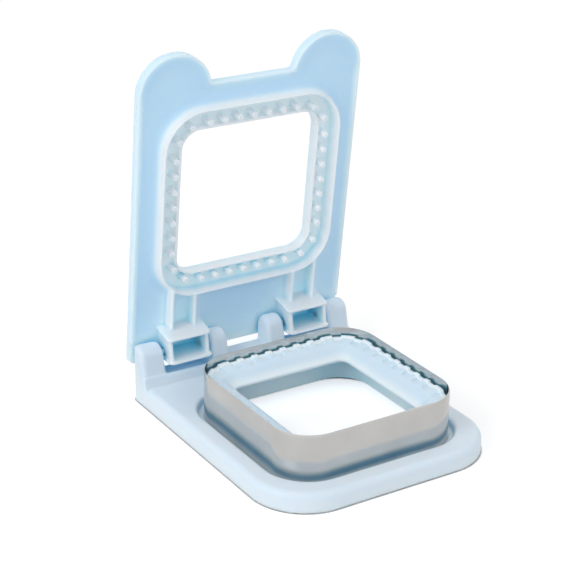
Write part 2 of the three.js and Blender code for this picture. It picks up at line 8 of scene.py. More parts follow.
# %% Load the fixed frame
import json
from math import acos, atan2, cos, hypot, pi, radians, sin, sqrt

import bmesh
import bpy
from mathutils import Matrix, Vector, noise


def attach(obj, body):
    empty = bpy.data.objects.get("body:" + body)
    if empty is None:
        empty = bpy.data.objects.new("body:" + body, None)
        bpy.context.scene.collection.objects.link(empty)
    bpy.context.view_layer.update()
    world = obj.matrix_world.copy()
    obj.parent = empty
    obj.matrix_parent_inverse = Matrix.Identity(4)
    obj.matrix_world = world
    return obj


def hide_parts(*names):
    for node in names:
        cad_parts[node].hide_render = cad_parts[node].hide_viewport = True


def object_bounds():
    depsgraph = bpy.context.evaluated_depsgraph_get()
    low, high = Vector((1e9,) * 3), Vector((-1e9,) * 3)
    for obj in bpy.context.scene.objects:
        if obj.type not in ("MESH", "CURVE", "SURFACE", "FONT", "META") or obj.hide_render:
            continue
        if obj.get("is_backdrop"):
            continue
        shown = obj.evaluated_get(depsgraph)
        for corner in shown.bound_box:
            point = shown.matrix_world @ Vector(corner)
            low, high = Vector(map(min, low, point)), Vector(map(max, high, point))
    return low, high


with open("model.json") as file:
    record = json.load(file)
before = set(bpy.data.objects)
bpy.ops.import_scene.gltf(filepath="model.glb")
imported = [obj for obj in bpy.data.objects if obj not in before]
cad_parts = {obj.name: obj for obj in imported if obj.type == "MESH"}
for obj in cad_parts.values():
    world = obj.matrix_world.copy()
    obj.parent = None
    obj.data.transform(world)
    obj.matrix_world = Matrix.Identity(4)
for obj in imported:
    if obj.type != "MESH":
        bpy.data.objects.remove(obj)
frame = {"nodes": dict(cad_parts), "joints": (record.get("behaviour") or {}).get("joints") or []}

cad_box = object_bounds()
print("CAD box", [[round(value, 4) for value in corner] for corner in cad_box])

# %% [markdown]
# ## Where things are
# The pieces are drawn in millimetres round the middle of the square band, with the lid
# shut, because every piece is square to the others there. Two matrices then take them to
# the model's frame: one moves a piece of the base, the other also swings the lid open.

# %% Millimetres to the model's frame
MM = 0.001
hinge = frame["joints"][0]
HINGE_Y = 75.8
HINGE_Z = hinge["pos_m"][2] / MM
OPEN_ANGLE = radians(hinge["range_deg"][1])
TO_BASE = Matrix.Scale(MM, 4) @ Matrix.Translation((0, -HINGE_Y, 0))
TO_LID = (
    TO_BASE
    @ Matrix.Translation((0, HINGE_Y, HINGE_Z))
    @ Matrix.Rotation(-OPEN_ANGLE, 4, "X")
    @ Matrix.Translation((0, -HINGE_Y, -HINGE_Z))
)
print("hinge line at", round(HINGE_Z, 2), "mm, opens", hinge["range_deg"][1], "degrees")

# %% [markdown]
# ## The camera
# The photograph looks down on the tool from the front left with a long lens. The camera
# stands where the rows of pegs, the band and the tray line up with it. Its axes are built
# from two viewing angles and a small roll.

# %% Camera at the photograph's angle
VIEW_AZIMUTH = radians(-32.469)
VIEW_HEIGHT = radians(23.235)
VIEW_ROLL = radians(0.83)
VIEW_PLACE = Vector((-0.38635, -0.64926, 0.37173))
SENSOR = 36
LENS = 103.44


def photo_camera():
    """Make the camera that sees the tool as the photograph does."""
    back = Vector((
        sin(VIEW_AZIMUTH) * cos(VIEW_HEIGHT),
        -cos(VIEW_AZIMUTH) * cos(VIEW_HEIGHT),
        sin(VIEW_HEIGHT),
    ))
    level = Vector((cos(VIEW_AZIMUTH), sin(VIEW_AZIMUTH), 0))
    steep = back.cross(level)
    right = cos(VIEW_ROLL) * level + sin(VIEW_ROLL) * steep
    up = cos(VIEW_ROLL) * steep - sin(VIEW_ROLL) * level
    data = bpy.data.cameras.new("photo_camera")
    data.sensor_width = SENSOR
    data.lens = LENS
    data.clip_start = 0.01
    camera = bpy.data.objects.new("photo_camera", data)
    turn = Matrix((right, up, back)).transposed().to_4x4()
    camera.matrix_world = Matrix.Translation(VIEW_PLACE) @ turn
    bpy.context.scene.collection.objects.link(camera)
    return camera


bpy.context.scene.camera = photo_camera()
print("camera", [round(value, 3) for value in bpy.context.scene.camera.location])

# %% [markdown]
# ## Small tools
# A solid is started in a bmesh and then becomes an object. Joining and cutting are done
# with the Boolean modifier, and its result is kept as the object's own mesh.

# %% From bmesh to object, and back to a plain mesh
WELD = 0.0005


def to_object(name, mesh):
    """Close the bmesh, point its faces outwards and make an object of it."""
    bmesh.ops.remove_doubles(mesh, verts=mesh.verts, dist=WELD)
    bmesh.ops.recalc_face_normals(mesh, faces=mesh.faces)
    data = bpy.data.meshes.new(name)
    mesh.to_mesh(data)
    mesh.free()
    piece = bpy.data.objects.new(name, data)
    bpy.context.scene.collection.objects.link(piece)
    return piece


def keep_result(piece):
    """Make what the modifiers give the piece's own mesh."""
    graph = bpy.context.evaluated_depsgraph_get()
    made = bpy.data.meshes.new_from_object(piece.evaluated_get(graph))
    piece.modifiers.clear()
    before, piece.data = piece.data, made
    bpy.data.meshes.remove(before)
    return piece


def combine(piece, others, operation):
    """Join, cut or intersect a solid with others, which are used up."""
    for other in others:
        step = piece.modifiers.new(other.name, "BOOLEAN")
        step.solver = "MANIFOLD"
        step.operation = operation
        step.object = other
    keep_result(piece)
    for other in others:
        bpy.data.meshes.remove(other.data)
    return piece


# %% [markdown]
# Most solids here start as a flat outline that is drawn out, as a board is sawn off a
# plank. A corner's rounding is written with the corner, so an outline stays a short list
# of places, and one bevel rounds all the corners that share a radius.

# %% Faces and prisms
ROUND_STEPS = 6


def is_vert(part):
    return isinstance(part, bmesh.types.BMVert)


def is_edge(part):
    return isinstance(part, bmesh.types.BMEdge)


def raise_face(mesh, face, step):
    """Extrude a face into a prism; the face itself stays as the first end."""
    made = bmesh.ops.extrude_face_region(mesh, geom=[face], use_keep_orig=True)["geom"]
    bmesh.ops.translate(mesh, verts=[part for part in made if is_vert(part)], vec=step)


def flat_face(mesh, points):
    """A face through points, where a fourth number rounds that corner."""
    corners = [mesh.verts.new(point[:3]) for point in points]
    face = mesh.faces.new(corners)
    radii = [point[3] if len(point) > 3 else 0 for point in points]
    for radius in sorted(set(radii) - {0}):
        bmesh.ops.bevel(
            mesh,
            geom=[corner for corner, own in zip(corners, radii) if own == radius],
            offset=radius,
            segments=ROUND_STEPS,
            profile=0.5,
            affect="VERTICES",
            material=-1,
        )
    bmesh.ops.remove_doubles(mesh, verts=mesh.verts, dist=WELD)
    return mesh.faces[:][0]


def prism(name, points, step):
    """A flat outline, drawn out by a step."""
    mesh = bmesh.new()
    raise_face(mesh, flat_face(mesh, points), step)
    return to_object(name, mesh)


# %% Blocks, round bars and mirrored copies
def block(name, low, high):
    """A box between two corners."""
    mesh = bmesh.new()
    size = [top - bottom for bottom, top in zip(low, high)]
    middle = [(top + bottom) / 2 for bottom, top in zip(low, high)]
    place = Matrix.Translation(middle) @ Matrix.Diagonal((*size, 1))
    bmesh.ops.create_cube(mesh, size=1, matrix=place)
    return to_object(name, mesh)


def bar(name, radius, near, far, y, z, sides=48):
    """A round bar along X."""
    mesh = bmesh.new()
    place = Matrix.Translation(((near + far) / 2, y, z)) @ Matrix.Rotation(pi / 2, 4, "Y")
    bmesh.ops.create_cone(
        mesh,
        cap_ends=True,
        segments=sides,
        radius1=radius,
        radius2=radius,
        depth=far - near,
        matrix=place,
    )
    return to_object(name, mesh)


def mirrored(piece):
    """A copy of a solid on the other side of the middle."""
    mesh = bmesh.new()
    mesh.from_mesh(piece.data)
    bmesh.ops.scale(mesh, verts=mesh.verts, vec=(-1, 1, 1))
    return to_object(piece.name + "_mirrored", mesh)


# %% [markdown]
# ## The square track
# Band, ring, channel, rim and window all follow one square with round corners, and share
# the corner's middle. A section is drawn once, pulled along half a side, spun through the
# corner, pulled again, and mirrored twice. This keeps every wall equally thick all round,
# which scaling a square would not. A block on the same track is drawn as an outline, with
# a ruler and a compass, and then filled.

# %% A quarter of the track, and its mirror
CORNER = 27.8
CORNER_STEPS = 20


def pull(mesh, edges, step):
    """Extrude edges, move the new ones by a step and hand them back."""
    made = bmesh.ops.extrude_edge_only(mesh, edges=edges)["geom"]
    moved = [part for part in made if is_vert(part)]
    bmesh.ops.translate(mesh, verts=moved, vec=step)
    known = set(moved)
    return [part for part in made if is_edge(part) and known.issuperset(part.verts)]


def spin_corner(mesh, edges, steps):
    """Spin edges through a quarter turn round the corner's middle."""
    verts = list({vert for edge in edges for vert in edge.verts})
    last = bmesh.ops.spin(
        mesh,
        geom=verts + edges,
        cent=(CORNER, CORNER, 0),
        axis=(0, 0, 1),
        angle=pi / 2,
        steps=steps,
        use_merge=False,
        use_duplicate=False,
    )["geom_last"]
    return [part for part in last if is_edge(part)]


def mirror_across(mesh, axes):
    """Mirror a half or a quarter into the whole."""
    for axis in axes:
        everything = mesh.verts[:] + mesh.edges[:] + mesh.faces[:]
        bmesh.ops.mirror(mesh, geom=everything, merge_dist=WELD, axis=axis)


# %% Ruler and compass
def go_to(mesh, vert, x, y):
    """Draw a straight line from a point."""
    new = bmesh.ops.extrude_vert_indiv(mesh, verts=[vert])["verts"][0]
    new.co.x, new.co.y = x, y
    return new


def go_round(mesh, vert, middle, angle, steps):
    """Draw an arc from a point round a middle."""
    last = bmesh.ops.spin(
        mesh,
        geom=[vert],
        cent=(*middle, vert.co.z),
        axis=(0, 0, 1),
        angle=angle,
        steps=steps,
        use_merge=False,
        use_duplicate=False,
    )["geom_last"]
    return [part for part in last if is_vert(part)][0]


def fill_outline(name, mesh, rise):
    """Fill a closed outline and draw it upwards into a solid."""
    bmesh.ops.remove_doubles(mesh, verts=mesh.verts, dist=WELD)
    bmesh.ops.contextual_create(mesh, geom=mesh.edges[:])
    raise_face(mesh, mesh.faces[:][0], (0, 0, rise))
    return to_object(name, mesh)


# %% Rings and blocks that follow the square track
def track_ring(name, section, steps=CORNER_STEPS):
    """A ring whose section is given by half sizes and heights."""
    mesh = bmesh.new()
    flat_face(mesh, [(point[0], 0, *point[1:]) for point in section])
    edges = mesh.edges[:]
    bmesh.ops.delete(mesh, geom=mesh.faces[:], context="FACES_ONLY")
    edges = pull(mesh, edges, (0, CORNER, 0))
    edges = spin_corner(mesh, edges, steps)
    pull(mesh, edges, (-CORNER, 0, 0))
    mirror_across(mesh, "XY")
    return to_object(name, mesh)


def track_block(name, half, low, high):
    """A block whose outline follows the square track."""
    mesh = bmesh.new()
    here = go_to(mesh, mesh.verts.new((half, 0, low)), half, CORNER)
    here = go_round(mesh, here, (CORNER, CORNER), pi / 2, CORNER_STEPS)
    go_to(mesh, here, 0, half)
    mirror_across(mesh, "XY")
    return fill_outline(name, mesh, high - low)


# %% [markdown]
# ## Soft edges
# A moulding has no sharp edge or corner anywhere: the tool that made it was cut with
# round cutters, and ribs blend into the wall that carries them. Bevelling every edge by
# hand would miss the inner corners. A fine voxel skin over the joined solid, smoothed a
# few times, rounds both kinds alike, and thinning it keeps the piece light. Only an edge
# that turns by more than the crease angle is still drawn sharp. Joins can leave slivers
# finer than a speck of dust, which are dissolved when a piece is finished.

# %% Skin, smooth and thin a moulding
CREASE = radians(40)
SPECK = 0.003


def soften(piece, grid, passes, share):
    """Round all edges of a solid by about its grid size."""
    skin = piece.modifiers.new("skin", "REMESH")
    skin.mode = "VOXEL"
    skin.voxel_size = grid
    skin.use_smooth_shade = True
    blend = piece.modifiers.new("blend", "SMOOTH")
    blend.factor = 0.5
    blend.iterations = passes
    thin = piece.modifiers.new("thin", "DECIMATE")
    thin.ratio = share
    keep_result(piece)
    print(piece.name, len(piece.data.polygons), "faces after softening")
    return piece


def finish(piece, to_frame, body, node):
    """Take a piece to the model's frame, give it its body and hide the imported node it stands in
    for.
    """
    mesh = bmesh.new()
    mesh.from_mesh(piece.data)
    bmesh.ops.dissolve_degenerate(mesh, dist=SPECK, edges=mesh.edges)
    bmesh.ops.triangulate(mesh, faces=[face for face in mesh.faces if len(face.verts) > 4])
    for face in mesh.faces:
        face.smooth = True
    for edge in mesh.edges:
        edge.smooth = edge.calc_face_angle(0) < CREASE
    bmesh.ops.transform(mesh, matrix=to_frame, verts=mesh.verts)
    mesh.to_mesh(piece.data)
    mesh.free()
    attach(piece, body)
    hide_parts(node)
    print(piece.name, len(piece.data.polygons), "faces on", body)
    return piece


# %% [markdown]
# ## Crimp ring
# The ring is the press that folds the two slices together. Its crest has a notch at each
# pit that a peg of the lid pushes into, a flat shoulder holds the pits, and a smooth shelf
# slopes from there down to a lip. Seven pegs or pits stand on each side, at an equal pitch,
# and two on each corner. The places are worked out once, and both pieces use them.

# %% Places of the pegs and pits
PEG_HALF = 41.2
PEG_PITCH = 8
PEG_ROW = 3
PEG_CORNER_RADIUS = 14.3
PEG_CORNER_ANGLE = radians(18.8)


def peg_places():
    """Hand out each peg's place as a matrix that also turns X outwards."""
    corner = PEG_HALF - PEG_CORNER_RADIUS
    quarter = [(PEG_HALF, index * PEG_PITCH, 0) for index in range(-PEG_ROW, PEG_ROW + 1)]
    for side in (-1, 1):
        angle = pi / 4 + side * PEG_CORNER_ANGLE
        quarter.append((
            corner + PEG_CORNER_RADIUS * cos(angle),
            corner + PEG_CORNER_RADIUS * sin(angle),
            angle,
        ))
    for turn in range(4):
        spin = Matrix.Rotation(turn * pi / 2, 4, "Z")
        for x, y, angle in quarter:
            yield spin @ Matrix.Translation((x, y, 0)) @ Matrix.Rotation(angle, 4, "Z")


print(len(list(peg_places())), "pegs and pits")

# %% [markdown]
# The section is swept round the track. Pits and notches are cut out of it with round
# cutters and blocks, each kind in one go. Eight small hooks on the skirt snap the ring
# into the tray. A cutter reaches a little past what it cuts, so no thin skin is left.

# %% Sizes of the ring
CLEAR = 1
BAND_HALF = 46.6
FOOT = 5.5
RING_HALF = 45.7
RING_INNER = 43.7
RING_HEAD = 21.6
UNDER_TOP = 21.3
UNDER_ROUND = 1.5
SMALL_ROUND = 0.5
CREST_HALF = 45
CREST_INNER = 43.1
CREST_FOOT = 22.3
CREST_TOP = 26.3
SHOULDER_HALF = 38.2
SHOULDER_TOP = 25.3
SHOULDER_FALL = 0.3
SHOULDER_ROUND = 2.5
LIP_HALF = 31.5
LIP_TOP = 19.1
LIP_EDGE = 1
SKIRT_HALF = 44.7
SKIRT_FOOT = 3.1
PIT_RADIUS = 2.3
PIT_TAPER = 0.3
PIT_INSET = 0.8
PIT_FLOOR = 24.3
PIT_STEPS = 32
NOTCH_FLOOR = 25.4
CUT_HEIGHT = 4
HOOK_WIDTH = 7
HOOK_HEIGHT = 1
HOOK_SPREAD = 18
HOOK_TIP = 45.9

# %% Cutters and hooks of the ring
def pit_ends():
    """The round inner ends of all pits, a little narrower at the floor."""
    mesh = bmesh.new()
    high = CREST_TOP + CLEAR
    for place in peg_places():
        bmesh.ops.create_cone(
            mesh,
            cap_ends=True,
            segments=PIT_STEPS,
            radius1=PIT_RADIUS - PIT_TAPER,
            radius2=PIT_RADIUS + PIT_TAPER,
            depth=high - PIT_FLOOR,
            matrix=place @ Matrix.Translation((-PIT_INSET, 0, (high + PIT_FLOOR) / 2)),
        )
    return to_object("pit_ends", mesh)


def outward_blocks(name, far, floor):
    """A block from each pit's round end outwards, as wide as the pit."""
    mesh = bmesh.new()
    reach = far - PEG_HALF + PIT_INSET
    size = Matrix.Diagonal((reach, 2 * PIT_RADIUS, CUT_HEIGHT, 1))
    middle = Matrix.Translation((reach / 2 - PIT_INSET, 0, floor + CUT_HEIGHT / 2))
    for place in peg_places():
        bmesh.ops.create_cube(mesh, size=1, matrix=place @ middle @ size)
    return to_object(name, mesh)


def snap_blocks(name, near, far, low, high, width):
    """Two blocks on each side of the square, for the hooks or for their seats."""
    mesh = bmesh.new()
    size = Matrix.Diagonal((far - near, width, high - low, 1))
    for turn in range(4):
        spin = Matrix.Rotation(turn * pi / 2, 4, "Z")
        for side in (-HOOK_SPREAD, HOOK_SPREAD):
            middle = Matrix.Translation(((far + near) / 2, side, (high + low) / 2))
            bmesh.ops.create_cube(mesh, size=1, matrix=spin @ middle @ size)
    return to_object(name, mesh)


# %% Crimp ring
def make_crimp_ring():
    ring = track_ring("crimp_ring_fine", [
        (RING_HALF, FOOT),
        (RING_HALF, RING_HEAD),
        (CREST_HALF, CREST_FOOT),
        (CREST_HALF, CREST_TOP),
        (CREST_INNER, CREST_TOP),
        (CREST_INNER, SHOULDER_TOP, SMALL_ROUND),
        (SHOULDER_HALF, SHOULDER_TOP - SHOULDER_FALL, SHOULDER_ROUND),
        (LIP_HALF, LIP_TOP, SMALL_ROUND),
        (LIP_HALF, LIP_TOP - LIP_EDGE),
        (LIP_HALF + LIP_EDGE, LIP_TOP - 2 * LIP_EDGE),
        (RING_INNER, UNDER_TOP, UNDER_ROUND),
        (RING_INNER, SKIRT_FOOT),
        (SKIRT_HALF, SKIRT_FOOT),
        (SKIRT_HALF, FOOT),
    ])
    hooks = snap_blocks(
        "hooks", RING_INNER, HOOK_TIP, SKIRT_FOOT, SKIRT_FOOT + HOOK_HEIGHT, HOOK_WIDTH
    )
    combine(ring, [hooks], "UNION")
    combine(ring, [
        pit_ends(),
        outward_blocks("pit_fronts", CREST_INNER, PIT_FLOOR),
        outward_blocks("notches", BAND_HALF, NOTCH_FLOOR),
    ], "DIFFERENCE")
    soften(ring, grid=0.28, passes=2, share=0.27)
    return finish(ring, TO_BASE, "base", "crimp_ring")


crimp_ring = make_crimp_ring()

# %% [markdown]
# ## Cutting band
# The band is a strip of stainless steel bent to the square and ground thin along its
# upper edge. A thin strip never bends quite flat, and its reflections show that, so its
# surface waves by a few hundredths of a millimetre along its length.

# %% The strip and its waves
BAND_INNER = 46
BAND_TOP = 29.8
BAND_GRIND = 0.9
BAND_EDGE = 0.25
BAND_ROWS = 10
BAND_CUTS = 23
CORNER_FINE = 32
WAVE = 0.05
SLOW_WAVE = (26, 26, 60)
QUICK_WAVE = (9, 9, 30)
QUICK_SHARE = 0.25
WAVE_SHIFT = Vector((0, 0, 7))
HAIR = 0.001


def strip_wave(point):
    """How far the strip stands out of true at a point."""
    slow = noise.noise(Vector(place / length for place, length in zip(point, SLOW_WAVE)))
    quick = Vector(place / length for place, length in zip(point, QUICK_WAVE))
    return WAVE * (slow + QUICK_SHARE * noise.noise(quick + WAVE_SHIFT))


# %% Cutting band
def make_cutting_band():
    rise = BAND_TOP - BAND_GRIND - FOOT
    heights = [FOOT + rise * row / BAND_ROWS for row in range(BAND_ROWS + 1)]
    band = track_ring("cutting_band_fine", [
        *((BAND_HALF, height) for height in heights),
        (BAND_INNER + BAND_EDGE, BAND_TOP),
        (BAND_INNER, BAND_TOP),
        *((BAND_INNER, height) for height in reversed(heights)),
    ], steps=CORNER_FINE)
    mesh = bmesh.new()
    mesh.from_mesh(band.data)
    sides = [
        edge
        for edge in mesh.edges
        if abs(edge.verts[0].co.z - edge.verts[1].co.z) < HAIR
        and edge.calc_length() > CORNER / 2
    ]
    bmesh.ops.subdivide_edges(mesh, edges=sides, cuts=BAND_CUTS, use_grid_fill=True)
    for vert in mesh.verts:
        outwards = Vector((vert.co.x, vert.co.y, 0))
        outwards.x -= max(-CORNER, min(CORNER, outwards.x))
        outwards.y -= max(-CORNER, min(CORNER, outwards.y))
        vert.co += outwards.normalized() * strip_wave(vert.co)
    mesh.to_mesh(band.data)
    mesh.free()
    return finish(band, TO_BASE, "base", "cutting_band")


cutting_band = make_cutting_band()

# %% [markdown]
# ## Tray
# The tray is one moulding: a slab with a channel round the band, a low wall behind it and
# four lugs that carry the lid. The slab starts as a block whose upright edges are rounded
# with two radii, and whose upper edge is then rounded all the way round. The same outline,
# of an ample height, later trims what stands on the slab.

# %% Slab of the tray
TRAY_SIDE = 60
TRAY_FRONT = -60.6
TRAY_REAR = 80.1
TRAY_TOP = 9.6
TRAY_WALL = 2
TRAY_EDGE = 3.6
FRONT_CORNER = 27.5
FRONT_STEPS = 24
REAR_CORNER = 4
AMPLE = 40


def upright_edges(mesh, front):
    """The upright edges of a block, at its front or at its back."""
    return [
        edge
        for edge in mesh.edges
        if abs(edge.verts[0].co.z - edge.verts[1].co.z) > HAIR
        and (edge.verts[0].co.y < 0) == front
    ]


def round_edges(mesh, edges, radius, steps=ROUND_STEPS):
    bmesh.ops.bevel(
        mesh,
        geom=edges,
        offset=radius,
        segments=steps,
        profile=0.5,
        affect="EDGES",
        material=-1,
    )


def tray_plan(name, inset, low, high, edge=0):
    """The tray's outline as a solid, taken in by an inset and rounded at the top."""
    mesh = bmesh.new()
    size = (2 * (TRAY_SIDE - inset), TRAY_REAR - TRAY_FRONT - 2 * inset, high - low)
    middle = (0, (TRAY_REAR + TRAY_FRONT) / 2, (high + low) / 2)
    place = Matrix.Translation(middle) @ Matrix.Diagonal((*size, 1))
    bmesh.ops.create_cube(mesh, size=1, matrix=place)
    round_edges(mesh, upright_edges(mesh, front=True), FRONT_CORNER - inset, FRONT_STEPS)
    round_edges(mesh, upright_edges(mesh, front=False), REAR_CORNER - inset)
    if edge:
        rim = [
            line
            for line in mesh.edges
            if min(vert.co.z for vert in line.verts) > high - HAIR
        ]
        round_edges(mesh, rim, edge)
    return to_object(name, mesh)


# %% [markdown]
# A lug is a rounded ear round the hinge line. Its side view is an arc of the compass, with
# a tangent down to the slab in front and the tray's back behind. It is drawn out across,
# narrowed a little towards its top, as a moulding is so that it leaves the mould, and
# rounded along both sides.

# %% Lugs
WALL_FRONT = 66.7
WALL_TOP = 15.2
WALL_LEAN = 0.6
LUG_RADIUS = 5.95
LUG_EDGE = 2.4
LUG_DRAFT = 0.8
LUG_STEPS = 20
INNER_LUG = (11, 21.9)
OUTER_LUG = (46.7, 60)


def lug(name, near, far, near_draft, far_draft):
    """A lug: its side view drawn out across, narrowed upwards and rounded along its edge."""
    rear_angle = acos((TRAY_REAR - HINGE_Y) / LUG_RADIUS)
    reach = hypot(WALL_FRONT - HINGE_Y, TRAY_TOP - HINGE_Z)
    foot_angle = atan2(TRAY_TOP - HINGE_Z, WALL_FRONT - HINGE_Y) + 2 * pi
    front_angle = foot_angle - acos(LUG_RADIUS / reach)
    mesh = bmesh.new()
    start = mesh.verts.new((
        near,
        HINGE_Y + LUG_RADIUS * cos(rear_angle),
        HINGE_Z + LUG_RADIUS * sin(rear_angle),
    ))
    bmesh.ops.spin(
        mesh,
        geom=[start],
        cent=(near, HINGE_Y, HINGE_Z),
        axis=(1, 0, 0),
        angle=front_angle - rear_angle,
        steps=LUG_STEPS,
        use_merge=False,
        use_duplicate=False,
    )
    arc = sorted(mesh.verts, key=lambda vert: -vert.co.y)
    foot = [
        mesh.verts.new((near, WALL_FRONT, TRAY_TOP)),
        mesh.verts.new((near, WALL_FRONT, TRAY_WALL)),
        mesh.verts.new((near, TRAY_REAR, TRAY_WALL)),
    ]
    face = mesh.faces.new([*arc, *foot])
    raise_face(mesh, face, (far - near, 0, 0))
    top = HINGE_Z + LUG_RADIUS
    for vert in mesh.verts:
        share = max(0, vert.co.z - TRAY_TOP) / (top - TRAY_TOP)
        vert.co.x += near_draft * share if vert.co.x < (near + far) / 2 else -far_draft * share
    bmesh.ops.remove_doubles(mesh, verts=mesh.verts, dist=WELD)
    bmesh.ops.recalc_face_normals(mesh, faces=mesh.faces)
    outline = [
        edge
        for edge in mesh.edges
        if max(vert.co.z for vert in edge.verts) > TRAY_TOP + HAIR
        and abs(edge.verts[0].co.x - edge.verts[1].co.x) < LUG_EDGE
        and min(vert.co.z for vert in edge.verts) > TRAY_WALL + HAIR
    ]
    round_edges(mesh, outline, LUG_EDGE)
    return to_object(name, mesh)


# %% [markdown]
# A low wall joins the lugs along the back. Behind each outer lug a small nub stands out,
# and the open lid leans on it, so the nub's face is worked out from the lid's plane.

# %% Rear wall and stops
STOP_NEAR = 47
STOP_WIDTH = 9
STOP_LOW = 16.8
STOP_HIGH = 20
STOP_GAP = 0.3
LID_UNDER = 29.6


def rear_wall():
    return prism("rear_wall", [
        (-TRAY_SIDE, WALL_FRONT, TRAY_WALL),
        (-TRAY_SIDE, TRAY_REAR, TRAY_WALL),
        (-TRAY_SIDE, TRAY_REAR, WALL_TOP),
        (-TRAY_SIDE, WALL_FRONT + WALL_LEAN, WALL_TOP),
        (-TRAY_SIDE, WALL_FRONT, TRAY_TOP),
    ], (2 * TRAY_SIDE, 0, 0))


def lid_stop():
    """The nub behind an outer lug that the open lid leans on."""
    face = LID_UNDER - HINGE_Z - STOP_GAP

    def on_face(z):
        return HINGE_Y + (face - (z - HINGE_Z) * cos(OPEN_ANGLE)) / sin(OPEN_ANGLE)

    root = TRAY_REAR - TRAY_WALL
    return prism("lid_stop", [
        (STOP_NEAR, root, WALL_TOP),
        (STOP_NEAR, TRAY_REAR, WALL_TOP),
        (STOP_NEAR, on_face(STOP_LOW), STOP_LOW),
        (STOP_NEAR, on_face(STOP_HIGH), STOP_HIGH),
        (STOP_NEAR, root, STOP_HIGH),
    ], (STOP_WIDTH, 0, 0))


# %% [markdown]
# The underside is hollow, because such a moulding is cored so that its walls stay thin
# and cool evenly. What is kept of it is the wall round the channel and three ribs, so the
# pocket is made as one solid and these are cut out of it. The channel's edge is rounded
# with a ring whose section is what a round cutter leaves of a corner.

# %% Channel and underside
CHANNEL_HALF = 49.6
CHANNEL_FLOOR = 5.8
CHANNEL_ROUND = 2
LEDGE_TOP = 5.2
LEDGE_GAP = 0.3
OPENING_HALF = 45
RECESS = 3.2
UNDER_RIBS = (-30, 0, 30)
UNDER_RIB_HALF = 1.2


def channel_edge():
    """Cutter that rounds the upper edge of the channel."""
    low = TRAY_TOP - CHANNEL_ROUND
    return track_ring("channel_edge", [
        (CHANNEL_HALF - CLEAR, TRAY_TOP + CLEAR),
        (CHANNEL_HALF - CLEAR, low),
        (CHANNEL_HALF, low),
        (CHANNEL_HALF, TRAY_TOP, CHANNEL_ROUND),
        (CHANNEL_HALF + CHANNEL_ROUND, TRAY_TOP),
        (CHANNEL_HALF + CHANNEL_ROUND, TRAY_TOP + CLEAR),
    ])


def under_pockets():
    inner = tray_plan("under_pockets", TRAY_WALL, -CLEAR, TRAY_TOP - TRAY_WALL)
    low = -2 * CLEAR
    keep = [track_block("channel_wall", CHANNEL_HALF + TRAY_WALL, low, TRAY_TOP)]
    for x in UNDER_RIBS:
        near, far = x - UNDER_RIB_HALF, x + UNDER_RIB_HALF
        keep.append(block("under_rib", (near, CHANNEL_HALF, low), (far, TRAY_REAR, TRAY_TOP)))
    return combine(inner, keep, "DIFFERENCE")


# %% [markdown]
# The hinge blocks turn between the lugs, so the tray is cut by the round that their
# plates sweep: a wide one in front and a narrower one behind. The pins are held in round
# seats in the lugs, and the lugs are cored from below.

# %% Room for the hinge
FRONT_SWING = 12.43
REAR_SWING = 11.07
SWING_END = HINGE_Y - 7.55
SWING_STEPS = 96
SEAT_RADIUS = 1.8
LUG_SEAT = 6
CORE_TOP = 13


def hinge_room():
    """What the right hinge block and its pins need, and the hollows in its lugs."""
    start, end = INNER_LUG[1], OUTER_LUG[0]
    swings = []
    for radius, rear in ((FRONT_SWING, SWING_END), (REAR_SWING, TRAY_REAR + CLEAR)):
        swing = bar("swing", radius, start, end, HINGE_Y, HINGE_Z, sides=SWING_STEPS)
        corner = (INNER_LUG[0], WALL_FRONT - CLEAR, TRAY_TOP)
        zone = block("swing_zone", corner, (TRAY_SIDE, rear, AMPLE))
        swings.append(combine(swing, [zone], "INTERSECT"))
    seats = bar("pin_seats", SEAT_RADIUS, start - LUG_SEAT, end + LUG_SEAT, HINGE_Y, HINGE_Z)
    cores = [
        block(
            "lug_core",
            (near + TRAY_WALL, WALL_FRONT + 2 * TRAY_WALL, -CLEAR),
            (far - TRAY_WALL, TRAY_REAR - TRAY_WALL, CORE_TOP),
        )
        for near, far in (INNER_LUG, OUTER_LUG)
    ]
    return [*swings, seats, *cores]


# %% [markdown]
# The right half's lugs, stop and cutters are made once and mirrored. Everything that
# stands on the slab is joined to it first, and all the cuts then follow in one go.

# %% Tray
SNAP_DEPTH = 1.2
SNAP_PLAY = 0.6


def hook_seats():
    return snap_blocks(
        "hook_seats",
        OPENING_HALF - CLEAR,
        OPENING_HALF + SNAP_DEPTH,
        RECESS - CLEAR,
        RECESS + SNAP_DEPTH,
        HOOK_WIDTH + SNAP_PLAY,
    )


def make_tray():
    tray = tray_plan("tray_fine", 0, 0, TRAY_TOP, edge=TRAY_EDGE)
    inner = lug("inner_lug", *INNER_LUG, LUG_DRAFT, LUG_DRAFT)
    outer = lug("outer_lug", *OUTER_LUG, LUG_DRAFT, 0)
    wall = rear_wall()
    combine(wall, [inner, outer, mirrored(inner), mirrored(outer)], "UNION")
    combine(wall, [tray_plan("plan", 0, 0, AMPLE)], "INTERSECT")
    stop = lid_stop()
    combine(tray, [wall, stop, mirrored(stop)], "UNION")
    room = hinge_room()
    combine(tray, [
        *room,
        *[mirrored(cutter) for cutter in room],
        under_pockets(),
        track_block("recess", CHANNEL_HALF, -CLEAR, RECESS),
        track_block("opening", OPENING_HALF, -CLEAR, TRAY_TOP + CLEAR),
        track_block("ledge", BAND_HALF + LEDGE_GAP, LEDGE_TOP, TRAY_TOP + CLEAR),
        track_block("channel", CHANNEL_HALF, CHANNEL_FLOOR, TRAY_TOP + CLEAR),
        channel_edge(),
        hook_seats(),
    ], "DIFFERENCE")
    soften(tray, grid=0.45, passes=4, share=0.45)
    return finish(tray, TO_BASE, "base", "tray")


tray = make_tray()

